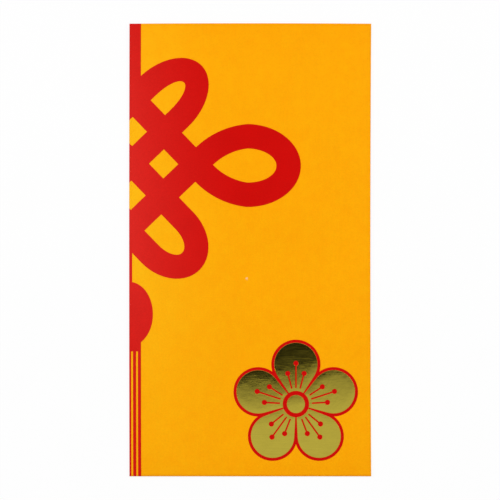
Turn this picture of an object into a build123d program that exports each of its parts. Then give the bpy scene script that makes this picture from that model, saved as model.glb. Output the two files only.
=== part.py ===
from build123d import *

import os
from math import asin, cos, pi, sin, sqrt

# Money envelope folded from one printed sheet. It lies on its back: front face up, mouth towards +Y.
# Millimetres, origin under the middle of the envelope.

# Folded envelope
envelope_width = 90.0
envelope_height = 169.0
paper = 0.2  # thickness of the sheet
glue = 0.05  # thickness of a glue line
pocket = 0.75  # free height inside, above the seam tab
corner_inset = 0.3  # the end folds stop this far short of the side edges

# Mouth, side seam and flaps
mouth_clearance = 0.4  # from the top crease down to the back panel's shoulders
throat_shoulder = 16.0
throat_depth = 6.0
throat_round = 9.0
seam_tab_width = 12.0
seam_tab_taper = 3.0
seam_setback = 1.2  # from the envelope's right edge to the back panel's cut edge
glue_margin = 1.5
bottom_flap_depth = 18.0
bottom_flap_taper = 6.0
bottom_flap_round = 4.0
closure_flap_depth = 24.0
closure_flap_taper = 9.0
closure_flap_round = 7.0

# Layers of the print
ink = 0.03
foil = 0.05

# Printed knot: a lattice of three bands each way, with ears above and below and a loop at each side
print_axis_past_fold = 0.62  # the print's upright axis lies this far round the left fold
knot_from_top = 52.2
knot_offset = 0.8
knot_tilt_degrees = 1.1
band = 9.12
band_pitch = 16.8
upper_ear_half_width = 3.84
upper_ear_straight = 3.0  # length of an ear's straight sides
upper_ear_half_length = 10.5  # of the ellipse that ends an ear
upper_ear_shift = -0.2  # from the middle of its opening's row towards the knot's upright axis
lower_ear_half_width = 4.34
lower_ear_straight = 7.7
lower_ear_half_length = 7.94
lower_ear_shift = 1.2
loop_middle = 43.0
loop_half_length = 10.84
loop_half_height = 6.34

# Printed cord, bead and tassel on the knot's axis
cord_half_width = 4.18
thin_cord_half_width = 0.98
bead_from_top = 108.4
bead_half_width = 8.72
bead_half_height = 12.0
tassel_from_top = 122.3
tassel_strip = 1.16
tassel_pitch = 1.84
tassel_strips = 5

# Emblem: a five-petalled blossom in gold foil over a red underprint that shows as its outline
emblem_from_right = 28.0
emblem_from_bottom = 27.1
emblem_outline = 1.1
petals = 5
petal_middle = 14.8
petal_radius = 8.1
blossom_ring_radius = 4.9
blossom_boss_radius = 3.4
stamen_width = 0.55
stamen_dot_radius = 0.95
stamen_start = 6.2
stamen_long = 15.2
stamen_short = 11.8
stamen_spread_degrees = 15.0

# Levels, counted up from the surface the envelope lies on
flap_top = paper
back_low = flap_top + glue + ink
back_top = back_low + paper
tab_low = back_top + glue
tab_top = tab_low + paper
front_low = tab_top + pocket
front_top = front_low + paper

# Outer radius and middle height of each fold
left_radius = (front_top - back_low) / 2
left_middle = (front_top + back_low) / 2
right_radius = (front_top - tab_low) / 2
right_middle = (front_top + tab_low) / 2
end_radius = front_top / 2

# Lines where the flat panels run into the folds
left_line = -envelope_width / 2 + left_radius
right_line = envelope_width / 2 - right_radius
bottom_line = -envelope_height / 2 + end_radius
top_line = envelope_height / 2 - end_radius
mouth_line = top_line - mouth_clearance
back_right = envelope_width / 2 - seam_setback
end_half_width = envelope_width / 2 - corner_inset

# Places of the print on the front
knot_y = envelope_height / 2 - knot_from_top
bead_y = envelope_height / 2 - bead_from_top
tassel_y = envelope_height / 2 - tassel_from_top
emblem_x = envelope_width / 2 - emblem_from_right
emblem_y = -envelope_height / 2 + emblem_from_bottom

os.makedirs("parts", exist_ok=True)


def panel_outline(left, right, bottom, top):
    """Plain rectangle between four lines."""
    with BuildSketch() as outline:
        with Locations(((left + right) / 2, (bottom + top) / 2)):
            Rectangle(right - left, top - bottom)
    return outline.sketch


def back_outline():
    """Back panel with its throat, a shallow dip at the mouth between two shoulders."""
    throat_left = left_line + throat_shoulder
    throat_right = back_right - throat_shoulder
    with BuildSketch() as outline:
        with BuildLine():
            Polyline(
                (throat_left, mouth_line),
                (left_line, mouth_line),
                (left_line, bottom_line),
                (back_right, bottom_line),
                (back_right, mouth_line),
                (throat_right, mouth_line),
            )
            ThreePointArc(
                (throat_right, mouth_line),
                ((throat_left + throat_right) / 2, mouth_line - throat_depth),
                (throat_left, mouth_line),
            )
        make_face()
        shoulders = outline.vertices().group_by(Axis.Y)[-1].sort_by(Axis.X)[1:-1]
        fillet(shoulders, throat_round)
    return outline.sketch


def flap_outline(base_y, tip_y, taper, corner_radius):
    """Flap across the whole width that narrows from its crease to a round-cornered free edge."""
    tip_half_width = end_half_width - taper
    with BuildSketch() as outline:
        with BuildLine():
            Polyline(
                (-end_half_width, base_y),
                (end_half_width, base_y),
                (tip_half_width, tip_y),
                (-tip_half_width, tip_y),
                close=True,
            )
        make_face()
        tip_corners = outline.vertices().sort_by_distance((0, tip_y))[:2]
        fillet(tip_corners, corner_radius)
    return outline.sketch


def half_ring(radius, start_angle):
    """Section of a fold: half a ring of paper round the fold's own middle."""
    with BuildSketch() as ring:
        with BuildLine():
            outer = CenterArc((0, 0), radius, start_angle, 180)
            inner = CenterArc((0, 0), radius - paper, start_angle, 180)
            Line(outer @ 0, inner @ 0)
            Line(outer @ 1, inner @ 1)
        make_face()
    return ring.sketch


def ear_outline(half_width, straight, half_length):
    """Ear along +X: two straight sides square to the base, closed by half an ellipse."""
    with BuildSketch() as outline:
        with BuildLine():
            Polyline((straight, half_width), (0, half_width), (0, -half_width), (straight, -half_width))
            EllipticalCenterArc((straight, 0), half_length, half_width, -90, arc_size=180)
        make_face()
    return outline.sketch


def loop_outline(start_x, start_half, half_length, half_height):
    """Side loop along +X: it leaves the lattice at 45 degrees each way and ends in half an ellipse."""
    with BuildSketch() as outline:
        with BuildLine():
            TangentArc((start_x, start_half), (loop_middle, half_height), tangent=(1, 1))
            TangentArc((start_x, -start_half), (loop_middle, -half_height), tangent=(1, -1))
            EllipticalCenterArc((loop_middle, 0), half_length, half_height, -90, arc_size=180)
            if start_half > 0:
                Line((start_x, start_half), (start_x, -start_half))
        make_face()
    return outline.sketch


def knot_outline():
    """The knot round its own middle: lattice, four ears and two side loops, with their openings."""
    lattice_half = band_pitch + band / 2
    gap = band_pitch - band
    crossing_x = band_pitch * sqrt(2)
    crossing_half = band / sqrt(2)
    ears = []
    for up, half_width, straight, half_length, shift in (
        (1, upper_ear_half_width, upper_ear_straight, upper_ear_half_length, upper_ear_shift),
        (-1, lower_ear_half_width, lower_ear_straight, lower_ear_half_length, lower_ear_shift),
    ):
        base_x = (lattice_half - band_pitch / 2 - shift) / sqrt(2)
        base_y = (lattice_half + band_pitch / 2 + shift) / sqrt(2)
        ring = ear_outline(half_width + band, straight, half_length + band)
        hole = ear_outline(half_width, straight, half_length)
        ears.append((Location((base_x, up * base_y), 45 * up), ring, hole))
        ears.append((Location((-base_x, up * base_y), 180 - 45 * up), ring, hole))
    loop_ring = loop_outline(crossing_x, crossing_half, loop_half_length + band, loop_half_height + band)
    loop_hole = loop_outline(crossing_x + crossing_half, 0, loop_half_length, loop_half_height)
    sides = (Location((0, 0), 0), Location((0, 0), 180))
    with BuildSketch() as outline:
        Rectangle(2 * lattice_half, 2 * lattice_half, rotation=45)
        for place, ring, hole in ears:
            with Locations(place):
                add(ring)
        with Locations(*sides):
            add(loop_ring)
        for place, ring, hole in ears:
            with Locations(place):
                add(hole, mode=Mode.SUBTRACT)
        with Locations(*sides):
            add(loop_hole, mode=Mode.SUBTRACT)
        with Locations(Location((0, 0), 45)):
            with GridLocations(band_pitch, band_pitch, 2, 2):
                Rectangle(gap, gap, mode=Mode.SUBTRACT)
    return outline.sketch


def ornament_outline():
    """The whole red ornament as printed on the flat sheet, X counted from its own upright axis."""
    top_crossing = knot_y + band_pitch * sqrt(2)
    bottom_crossing = knot_y - band_pitch * sqrt(2)
    tassel_half = (tassel_pitch * (tassel_strips - 1) + tassel_strip) / 2
    strip_length = tassel_y - bottom_line
    with BuildSketch() as outline:
        with Locations(Location((knot_offset, knot_y), -knot_tilt_degrees)):
            add(knot_outline())
        add(panel_outline(-cord_half_width, cord_half_width, top_crossing, top_line))
        add(panel_outline(-thin_cord_half_width, thin_cord_half_width, bead_y, bottom_crossing))
        with Locations((0, bead_y)):
            Ellipse(bead_half_width, bead_half_height)
        add(panel_outline(-tassel_half, tassel_half, tassel_y, bead_y))
        with Locations((0, bottom_line + strip_length / 2)):
            with GridLocations(tassel_pitch, strip_length, tassel_strips, 1):
                Rectangle(tassel_strip, strip_length)
    return outline.sketch


def petal_outline(radius):
    """Petal along +X: a round end and two straight sides that meet at the blossom's middle."""
    half_angle = asin(radius / petal_middle)
    side = sqrt(petal_middle**2 - radius**2)
    touch_x = side * cos(half_angle)
    touch_y = side * sin(half_angle)
    with BuildSketch() as outline:
        with BuildLine():
            Line((0, 0), (touch_x, touch_y))
            ThreePointArc((touch_x, touch_y), (petal_middle + radius, 0), (touch_x, -touch_y))
            Line((touch_x, -touch_y), (0, 0))
        make_face()
    return outline.sketch


def stamen_outline(end):
    """Stamen along +X: a thin stem with a round dot at its outer end."""
    with BuildSketch() as outline:
        with Locations(((stamen_start + end) / 2, 0)):
            SlotCenterToCenter(end - stamen_start, stamen_width)
        with Locations((end, 0)):
            Circle(stamen_dot_radius)
    return outline.sketch


# Front and back panels

with BuildPart() as front_panel:
    with BuildSketch(Plane.XY.offset(front_low)):
        add(panel_outline(left_line, right_line, bottom_line, top_line))
    extrude(amount=paper)
front_panel.part.label = "front_panel"
export_step(front_panel.part, "parts/front_panel.step")

with BuildPart() as back_panel:
    with BuildSketch(Plane.XY.offset(back_low)):
        add(back_outline())
    extrude(amount=paper)
back_panel.part.label = "back_panel"
export_step(back_panel.part, "parts/back_panel.step")

# Folds: the sides run up to the mouth, the ends run across

with BuildPart() as left_fold:
    with BuildSketch(Plane.XZ.offset(-mouth_line)):
        with Locations((left_line, left_middle)):
            add(half_ring(left_radius, 90))
    extrude(amount=mouth_line - bottom_line)
left_fold.part.label = "left_fold"
export_step(left_fold.part, "parts/left_fold.step")

with BuildPart() as right_fold:
    with BuildSketch(Plane.XZ.offset(-mouth_line)):
        with Locations((right_line, right_middle)):
            add(half_ring(right_radius, -90))
    extrude(amount=mouth_line - bottom_line)
right_fold.part.label = "right_fold"
export_step(right_fold.part, "parts/right_fold.step")

with BuildPart() as bottom_fold:
    with BuildSketch(Plane.YZ):
        with Locations((bottom_line, end_radius)):
            add(half_ring(end_radius, 90))
    extrude(amount=end_half_width, both=True)
bottom_fold.part.label = "bottom_fold"
export_step(bottom_fold.part, "parts/bottom_fold.step")

with BuildPart() as top_crease:
    with BuildSketch(Plane.YZ):
        with Locations((top_line, end_radius)):
            add(half_ring(end_radius, -90))
    extrude(amount=end_half_width, both=True)
top_crease.part.label = "top_crease"
export_step(top_crease.part, "parts/top_crease.step")

# Side seam: the tab lies inside the pocket, glued onto the back panel

seam_tab_left = right_line - seam_tab_width
with BuildPart() as side_seam_tab:
    with BuildSketch(Plane.XY.offset(tab_low)):
        with BuildLine():
            Polyline(
                (right_line, bottom_line),
                (right_line, mouth_line),
                (seam_tab_left, mouth_line - seam_tab_taper),
                (seam_tab_left, bottom_line + seam_tab_taper),
                close=True,
            )
        make_face()
    extrude(amount=paper)
side_seam_tab.part.label = "side_seam_tab"
export_step(side_seam_tab.part, "parts/side_seam_tab.step")

with BuildPart() as side_seam_glue:
    with BuildSketch(Plane.XY.offset(back_top)):
        add(
            panel_outline(
                seam_tab_left + glue_margin,
                back_right - glue_margin,
                bottom_line + seam_tab_taper + glue_margin,
                mouth_line - seam_tab_taper - glue_margin,
            )
        )
        add(back_outline(), mode=Mode.INTERSECT)
    extrude(amount=glue)
side_seam_glue.part.label = "side_seam_glue"
export_step(side_seam_glue.part, "parts/side_seam_glue.step")

# Flaps behind the back panel

bottom_flap_outline = flap_outline(
    bottom_line, bottom_line + bottom_flap_depth, bottom_flap_taper, bottom_flap_round
)
with BuildPart() as bottom_flap:
    with BuildSketch():
        add(bottom_flap_outline)
    extrude(amount=paper)
bottom_flap.part.label = "bottom_flap"
export_step(bottom_flap.part, "parts/bottom_flap.step")

bottom_glue_half_width = end_half_width - bottom_flap_taper - bottom_flap_round
with BuildPart() as bottom_flap_glue:
    with BuildSketch(Plane.XY.offset(flap_top)):
        add(
            panel_outline(
                -bottom_glue_half_width,
                bottom_glue_half_width,
                bottom_line + glue_margin,
                bottom_line + bottom_flap_depth - glue_margin,
            )
        )
    extrude(amount=back_low - flap_top)
bottom_flap_glue.part.label = "bottom_flap_glue"
export_step(bottom_flap_glue.part, "parts/bottom_flap_glue.step")

with BuildPart() as closure_flap:
    with BuildSketch():
        add(flap_outline(top_line, top_line - closure_flap_depth, closure_flap_taper, closure_flap_round))
    extrude(amount=paper)
closure_flap.part.label = "closure_flap"
export_step(closure_flap.part, "parts/closure_flap.step")

# Red ornament, half on the front and half on the back, as if wrapped round the left fold

ornament = ornament_outline()
ornament_seen_from_inside = mirror(ornament, about=Plane.YZ)
front_axis = left_line - print_axis_past_fold
back_axis = left_line + print_axis_past_fold - pi * left_radius

with BuildPart() as knot_print_front:
    with BuildSketch(Plane.XY.offset(front_top)):
        with Locations((front_axis, 0)):
            add(ornament)
        add(panel_outline(left_line, right_line, bottom_line, top_line), mode=Mode.INTERSECT)
    extrude(amount=ink)
knot_print_front.part.label = "knot_print_front"
export_step(knot_print_front.part, "parts/knot_print_front.step")

with BuildPart() as knot_print_back:
    with BuildSketch(Plane.XY.offset(back_low)):
        with Locations((back_axis, 0)):
            add(ornament_seen_from_inside)
        add(back_outline(), mode=Mode.INTERSECT)
        add(bottom_flap_outline, mode=Mode.SUBTRACT)
    extrude(amount=-ink)
knot_print_back.part.label = "knot_print_back"
export_step(knot_print_back.part, "parts/knot_print_back.step")

# Emblem on the front

with BuildPart() as emblem_underprint:
    with BuildSketch(Plane.XY.offset(front_top)):
        with Locations((emblem_x, emblem_y)):
            with PolarLocations(0, petals, start_angle=90):
                add(petal_outline(petal_radius + emblem_outline))
    extrude(amount=ink)
emblem_underprint.part.label = "emblem_underprint"
export_step(emblem_underprint.part, "parts/emblem_underprint.step")

with BuildPart() as emblem_foil:
    with BuildSketch(Plane.XY.offset(front_top + ink)):
        with Locations((emblem_x, emblem_y)):
            with PolarLocations(0, petals, start_angle=90):
                add(petal_outline(petal_radius))
            Circle(blossom_ring_radius, mode=Mode.SUBTRACT)
            Circle(blossom_boss_radius)
            for turn, end in (
                (0, stamen_long),
                (stamen_spread_degrees, stamen_short),
                (-stamen_spread_degrees, stamen_short),
            ):
                with PolarLocations(0, petals, start_angle=90 + turn):
                    add(stamen_outline(end), mode=Mode.SUBTRACT)
    extrude(amount=foil)
emblem_foil.part.label = "emblem_foil"
export_step(emblem_foil.part, "parts/emblem_foil.step")
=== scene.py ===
from math import cos, pi, radians, sin, sqrt

import bmesh
import bpy
import numpy as np
from bpy.props import FloatProperty, FloatVectorProperty, IntProperty, PointerProperty
from bpy.types import Operator, Panel, PropertyGroup
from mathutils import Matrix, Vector


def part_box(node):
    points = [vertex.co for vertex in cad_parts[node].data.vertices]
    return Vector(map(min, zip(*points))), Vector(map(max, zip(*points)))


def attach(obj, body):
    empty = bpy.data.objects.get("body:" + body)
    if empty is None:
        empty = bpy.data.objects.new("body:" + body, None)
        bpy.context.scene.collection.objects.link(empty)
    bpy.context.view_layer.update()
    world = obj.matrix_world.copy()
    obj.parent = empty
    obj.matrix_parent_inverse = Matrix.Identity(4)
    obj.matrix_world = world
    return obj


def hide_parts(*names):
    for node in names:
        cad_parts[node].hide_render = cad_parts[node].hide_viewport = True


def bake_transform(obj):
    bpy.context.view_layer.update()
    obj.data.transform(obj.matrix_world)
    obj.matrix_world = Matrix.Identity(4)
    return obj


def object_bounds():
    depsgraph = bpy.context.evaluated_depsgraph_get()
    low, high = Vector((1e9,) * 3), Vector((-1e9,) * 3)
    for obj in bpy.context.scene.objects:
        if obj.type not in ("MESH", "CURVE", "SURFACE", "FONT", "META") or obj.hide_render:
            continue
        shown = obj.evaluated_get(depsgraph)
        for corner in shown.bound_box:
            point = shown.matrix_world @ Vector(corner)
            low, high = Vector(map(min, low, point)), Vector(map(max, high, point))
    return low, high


bl_info = {
    "name": "Money Envelope",
    "version": (1, 0, 0),
    "blender": (4, 5, 0),
    "location": "View3D > Sidebar > Envelope",
    "description": "Folded money envelope with a red knot print and a gold foil blossom",
    "category": "Object",
}

MM = 0.001

# The packed model is the fixed frame that every piece is built on
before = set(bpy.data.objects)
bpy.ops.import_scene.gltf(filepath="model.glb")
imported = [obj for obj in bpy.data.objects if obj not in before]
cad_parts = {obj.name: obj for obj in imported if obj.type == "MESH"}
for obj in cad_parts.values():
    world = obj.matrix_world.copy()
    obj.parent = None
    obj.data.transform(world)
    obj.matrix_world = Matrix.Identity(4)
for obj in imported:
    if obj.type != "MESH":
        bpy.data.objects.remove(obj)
cad_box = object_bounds()

# Outline, fold lines and levels of the folded sheet
front_low, front_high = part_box("front_panel")
left_fold_low, left_fold_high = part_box("left_fold")
half_width = cad_box[1].x
half_height = cad_box[1].y
front_level = front_high.z
back_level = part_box("back_panel")[0].z
paper_thickness = front_high.z - front_low.z
left_line = front_low.x
left_radius = (left_fold_high.z - left_fold_low.z) / 2

# Directions, seen from the front
rightwards = Vector((1, 0, 0))
leftwards = -rightwards
topwards = Vector((0, 1, 0))
bottomwards = -topwards
upwards = Vector((0, 0, 1))
downwards = -upwards

# Least share of a direction in the normal of a face on that side, and of one that faces it squarely
on_side = 0.5
squarely = 0.9

# Fineness of the meshes, with cuts beside each edge, where the sheet rolls over most
rim_cuts = (0.35 * MM, 0.85 * MM, 1.5 * MM, 2.2 * MM, 4.2 * MM)
fold_step = 0.4 * MM
points_round_fold = 21
merge_gap = 0.001 * MM
flat_angle = radians(0.5)
sharp_angle = radians(35)

# Slow waves of the front: radians that each runs through over half the width and half the height
first_wave = (4.1, 1.7)
second_wave = (-1.9, 9.3)

# Depth that stands for no print near
no_print = -1 * MM

white = (1.0, 1.0, 1.0)


# Settings that a user would change


class PaperSettings(PropertyGroup):
    """Colours of the sheet and the shape it takes when it lies at rest"""

    printed_colour: FloatVectorProperty(
        name="Printed colour",
        description="Golden yellow of the printed side",
        subtype="COLOR",
        min=0.0,
        max=1.0,
        default=(0.975, 0.390, 0.0010),
    )
    # painted sheen: a lighter yellow that stands in for light from the left lamp, mixed in beside the left
    # fold
    sheen_printed_colour: FloatVectorProperty(
        name="Pale printed colour",
        description="Golden yellow beside the left fold, where the print is a little paler",
        subtype="COLOR",
        min=0.0,
        max=1.0,
        default=(0.978, 0.480, 0.0058),
    )
    # the five settings below place the painted sheen of the left light on the yellow and on the red
    sheen_band: FloatProperty(
        name="Pale band",
        description="Distance from the left edge over which the paler print deepens",
        default=48.0 * MM,
        min=1.0 * MM,
        unit="LENGTH",
    )
    sheen_slant: FloatProperty(
        name="Pale slant",
        description="How much wider the pale band gets downwards, as a share of the way down",
        default=0.12,
    )
    sheen_high: FloatProperty(
        name="Pale high",
        description="Height over the middle of the envelope above which the pale band weakens",
        default=52.0 * MM,
        unit="LENGTH",
    )
    sheen_low: FloatProperty(
        name="Pale low",
        description="Height over the middle of the envelope below which the pale band weakens",
        default=19.0 * MM,
        unit="LENGTH",
    )
    sheen_end: FloatProperty(
        name="Pale end",
        description="Height over the middle of the envelope at which the pale band is weakest",
        default=-71.0 * MM,
        unit="LENGTH",
    )
    # painted shade: a darker, more orange tint that stands in for the shade on the top and bottom creases
    crease_shade_tint: FloatVectorProperty(
        name="Crease tint",
        description="Tint that deepens the print on the top and bottom creases",
        subtype="COLOR",
        min=0.0,
        max=1.0,
        default=(0.93, 0.80, 0.60),
    )
    # band over which the painted crease shade fades in towards the top and bottom creases
    end_shade_band: FloatProperty(
        name="End band",
        description="Distance from the top and bottom creases over which the print deepens",
        default=18.0 * MM,
        min=1.0 * MM,
        unit="LENGTH",
    )
    inside_colour: FloatVectorProperty(
        name="Inside colour",
        description="Unprinted side of the sheet",
        subtype="COLOR",
        min=0.0,
        max=1.0,
        default=(0.82, 0.79, 0.72),
    )
    core_colour: FloatVectorProperty(
        name="Core colour",
        description="Paper at the cut edges and under the print",
        subtype="COLOR",
        min=0.0,
        max=1.0,
        default=(0.86, 0.83, 0.77),
    )
    speck_place: FloatVectorProperty(
        name="Speck place",
        description="Middle of the small rubbed spot on the front",
        subtype="TRANSLATION",
        unit="LENGTH",
        default=(-1.3 * MM, -10.6 * MM, 2.0 * MM),
    )
    cell: FloatProperty(
        name="Cell",
        description="Size of the cells that a flat panel is cut into so that it can bend",
        default=3.0 * MM,
        min=0.5 * MM,
        unit="LENGTH",
    )
    front_bow: FloatProperty(
        name="Front bow",
        description="How far the middle of the front stands up",
        default=0.35 * MM,
        unit="LENGTH",
    )
    ripple: FloatProperty(
        name="Ripple",
        description="Height of the slow waves in the front",
        default=0.025 * MM,
        unit="LENGTH",
    )
    rim_press: FloatProperty(
        name="Rim press",
        description="How far the front is pressed down along its edges",
        default=0.22 * MM,
        unit="LENGTH",
    )
    rim_width: FloatProperty(
        name="Rim width",
        description="Width of the band over which the front rolls down to its edges",
        default=5.0 * MM,
        min=0.5 * MM,
        unit="LENGTH",
    )
    fold_spread: FloatProperty(
        name="Fold spread",
        description="How far the pressed side folds spread outwards",
        default=0.12 * MM,
        unit="LENGTH",
    )
    # scales both the real rubbed wear and the painted crease shade on the side folds
    side_wear_and_shade: FloatProperty(
        name="Side wear",
        description="Wear of the side folds, as a share of the sharper end folds' wear",
        default=0.25,
        min=0.0,
        max=1.0,
        subtype="FACTOR",
    )
    corner_pinch: FloatProperty(
        name="Corner pinch",
        description="Share of its height that an end fold loses at the envelope's corners",
        default=0.5,
        min=0.0,
        max=1.0,
        subtype="FACTOR",
    )
    left_belly: FloatProperty(
        name="Left belly",
        description="How far the left edge stands out at half height",
        default=0.12 * MM,
        unit="LENGTH",
    )
    right_waist: FloatProperty(
        name="Right waist",
        description="How far the right edge is drawn in at half height",
        default=0.30 * MM,
        unit="LENGTH",
    )
    side_band: FloatProperty(
        name="Side band",
        description="Width of the band beside each side edge that follows the edge",
        default=30.0 * MM,
        min=1.0 * MM,
        unit="LENGTH",
    )
    top_crown: FloatProperty(
        name="Top crown",
        description="How far the top edge rises in its middle",
        default=0.13 * MM,
        unit="LENGTH",
    )


class OrnamentSettings(PropertyGroup):
    """Colours of the red print, and its sizes where it runs round the folds"""

    red: FloatVectorProperty(
        name="Red",
        description="Red of the print",
        subtype="COLOR",
        min=0.0,
        max=1.0,
        default=(0.604, 0.0030, 0.0020),
    )
    # painted sheen: a lighter red that stands in for light from the left lamp, mixed in beside the left
    # fold
    sheen_red: FloatVectorProperty(
        name="Pale red",
        description="Red beside the left fold, where the print is a little paler",
        subtype="COLOR",
        min=0.0,
        max=1.0,
        default=(0.700, 0.0198, 0.0145),
    )
    # how fast the painted sheen on the red weakens above and below the knot
    sheen_fading: FloatProperty(
        name="Fading",
        description="How fast the paler red weakens above and below the knot, against the yellow's 1",
        default=0.7,
        min=0.0,
    )
    axis_past_fold: FloatProperty(
        name="Axis past the fold",
        description="How far round the left fold the ornament's upright axis lies",
        default=0.62 * MM,
        unit="LENGTH",
    )
    knot_height: FloatProperty(
        name="Knot height",
        description="Height of the knot's middle over the middle of the envelope",
        default=32.3 * MM,
        unit="LENGTH",
    )
    knot_offset: FloatProperty(
        name="Knot offset",
        description="How far the knot's middle lies to the right of the axis",
        default=0.8 * MM,
        unit="LENGTH",
    )
    knot_tilt: FloatProperty(
        name="Knot tilt",
        description="Clockwise turn of the knot",
        default=radians(1.1),
        subtype="ANGLE",
    )
    band: FloatProperty(
        name="Band",
        description="Width of the knot's bands",
        default=9.12 * MM,
        unit="LENGTH",
    )
    band_pitch: FloatProperty(
        name="Band pitch",
        description="Distance between the middles of neighbouring bands",
        default=16.8 * MM,
        unit="LENGTH",
    )
    ear_half_width: FloatProperty(
        name="Lower ear half width",
        description="Half the width of a lower ear's opening",
        default=4.34 * MM,
        unit="LENGTH",
    )
    ear_shift: FloatProperty(
        name="Lower ear shift",
        description="How far a lower ear lies nearer to the axis than its band",
        default=1.2 * MM,
        unit="LENGTH",
    )
    cord_half_width: FloatProperty(
        name="Cord half width",
        description="Half the width of the cord above the knot",
        default=4.18 * MM,
        unit="LENGTH",
    )
    thin_cord_half_width: FloatProperty(
        name="Thin cord half width",
        description="Half the width of the cord between the knot and the bead",
        default=0.98 * MM,
        unit="LENGTH",
    )
    bead_height: FloatProperty(
        name="Bead height",
        description="Height of the bead's middle over the middle of the envelope",
        default=-23.9 * MM,
        unit="LENGTH",
    )
    bead_half_width: FloatProperty(
        name="Bead half width",
        description="Half the width of the bead",
        default=8.72 * MM,
        unit="LENGTH",
    )
    bead_half_height: FloatProperty(
        name="Bead half height",
        description="Half the height of the bead",
        default=12.0 * MM,
        unit="LENGTH",
    )
    tassel_height: FloatProperty(
        name="Tassel height",
        description="Height over the middle of the envelope where the tassel parts into strips",
        default=-37.8 * MM,
        unit="LENGTH",
    )
    tassel_strip: FloatProperty(
        name="Tassel strip",
        description="Width of one strip of the tassel",
        default=1.16 * MM,
        unit="LENGTH",
    )
    tassel_pitch: FloatProperty(
        name="Tassel pitch",
        description="Distance between the middles of neighbouring strips",
        default=1.84 * MM,
        unit="LENGTH",
    )
    tassel_strips: IntProperty(
        name="Tassel strips",
        description="Number of strips in the tassel",
        default=5,
        min=1,
    )
    bleed: FloatProperty(
        name="Bleed",
        description="Share of the way round an end fold at which the print stops",
        default=0.7,
        min=0.0,
        max=1.0,
        subtype="FACTOR",
    )


class BlossomSettings(PropertyGroup):
    """Colour and relief of the gold foil blossom"""

    foil_colour: FloatVectorProperty(
        name="Foil colour",
        description="Colour of the foil's reflections",
        subtype="COLOR",
        min=0.0,
        max=1.0,
        default=(0.83, 0.67, 0.085),
    )
    foil_roughness: FloatProperty(
        name="Foil roughness",
        description="Roughness of the foil",
        default=0.055,
        min=0.0,
        max=1.0,
        subtype="FACTOR",
    )
    petals: IntProperty(
        name="Petals",
        description="Number of petals round the blossom",
        default=5,
        min=1,
    )
    rim: FloatProperty(
        name="Rim",
        description="Width of the sloped rim round each piece of foil",
        default=0.05 * MM,
        unit="LENGTH",
    )
    rim_rise: FloatProperty(
        name="Rim rise",
        description="Height of that rim",
        default=0.05 * MM,
        unit="LENGTH",
    )
    crown: FloatProperty(
        name="Crown",
        description="How far the embossed middle of a petal stands over its rim",
        default=0.010 * MM,
        unit="LENGTH",
    )
    crown_width: FloatProperty(
        name="Crown width",
        description="Distance from the outline over which a petal rises",
        default=3.0 * MM,
        min=0.1 * MM,
        unit="LENGTH",
    )
    cell: FloatProperty(
        name="Foil cell",
        description="Size of the cells that the foil is cut into for its relief",
        default=0.6 * MM,
        min=0.1 * MM,
        unit="LENGTH",
    )


class StageSettings(PropertyGroup):
    """Camera, light and floor"""

    lens: FloatProperty(
        name="Lens",
        description="Focal length of the camera",
        default=100.0,
        min=1.0,
        unit="CAMERA",
    )
    picture_width: FloatProperty(
        name="Picture width",
        description="Width of the picture at the envelope's front",
        default=186.34 * MM,
        unit="LENGTH",
    )
    camera_aside: FloatProperty(
        name="Camera aside",
        description="How far the camera stands to the right of the envelope's middle",
        default=-0.13 * MM,
        unit="LENGTH",
    )
    light_size: FloatProperty(
        name="Light size",
        description="Length of the sides of both soft lights",
        default=0.55,
        min=0.01,
        unit="LENGTH",
    )
    left_place: FloatVectorProperty(
        name="Left light's place",
        description="Place of the soft light at the left",
        subtype="TRANSLATION",
        unit="LENGTH",
        default=(-0.60, 0.25, 0.72),
    )
    left_power: FloatProperty(
        name="Left light",
        description="Power of the soft light at the left",
        default=3.75,
        min=0.0,
        unit="POWER",
    )
    right_place: FloatVectorProperty(
        name="Right light's place",
        description="Place of the soft light at the right",
        subtype="TRANSLATION",
        unit="LENGTH",
        default=(0.62, 0.25, 0.70),
    )
    right_power: FloatProperty(
        name="Right light",
        description="Power of the soft light at the right",
        default=3.5,
        min=0.0,
        unit="POWER",
    )
    room_level: FloatProperty(
        name="Room level",
        description="Brightness of the room's walls and ceiling",
        default=0.54,
        min=0.0,
    )
    hood_level: FloatProperty(
        name="Hood level",
        description="Brightness of the dark hood over the envelope",
        default=0.022,
        min=0.0,
    )
    hood_border_level: FloatProperty(
        name="Hood border level",
        description="Brightness just outside the hood's edge",
        default=0.30,
        min=0.0,
    )
    hood_tilt: FloatProperty(
        name="Hood tilt",
        description="How far the middle of the hood lies from straight above, towards the top edge",
        default=radians(12.0),
        subtype="ANGLE",
    )
    hood_half_angle: FloatProperty(
        name="Hood half angle",
        description="Half the angle that the hood covers, seen from the envelope",
        default=radians(17.7),
        subtype="ANGLE",
    )
    hood_edge: FloatProperty(
        name="Hood edge",
        description="Angle over which the hood's edge brightens",
        default=radians(0.5),
        subtype="ANGLE",
    )
    hood_border: FloatProperty(
        name="Hood border",
        description="Angle outside the hood's edge over which the room comes to its full level",
        default=radians(1.7),
        subtype="ANGLE",
    )
    floor_size: FloatProperty(
        name="Floor size",
        description="Length of the floor's sides",
        default=8.0,
        unit="LENGTH",
    )
    floor_drop: FloatProperty(
        name="Floor drop",
        description="How far the floor lies under the envelope",
        default=0.02 * MM,
        unit="LENGTH",
    )


# Shader nodes


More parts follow.
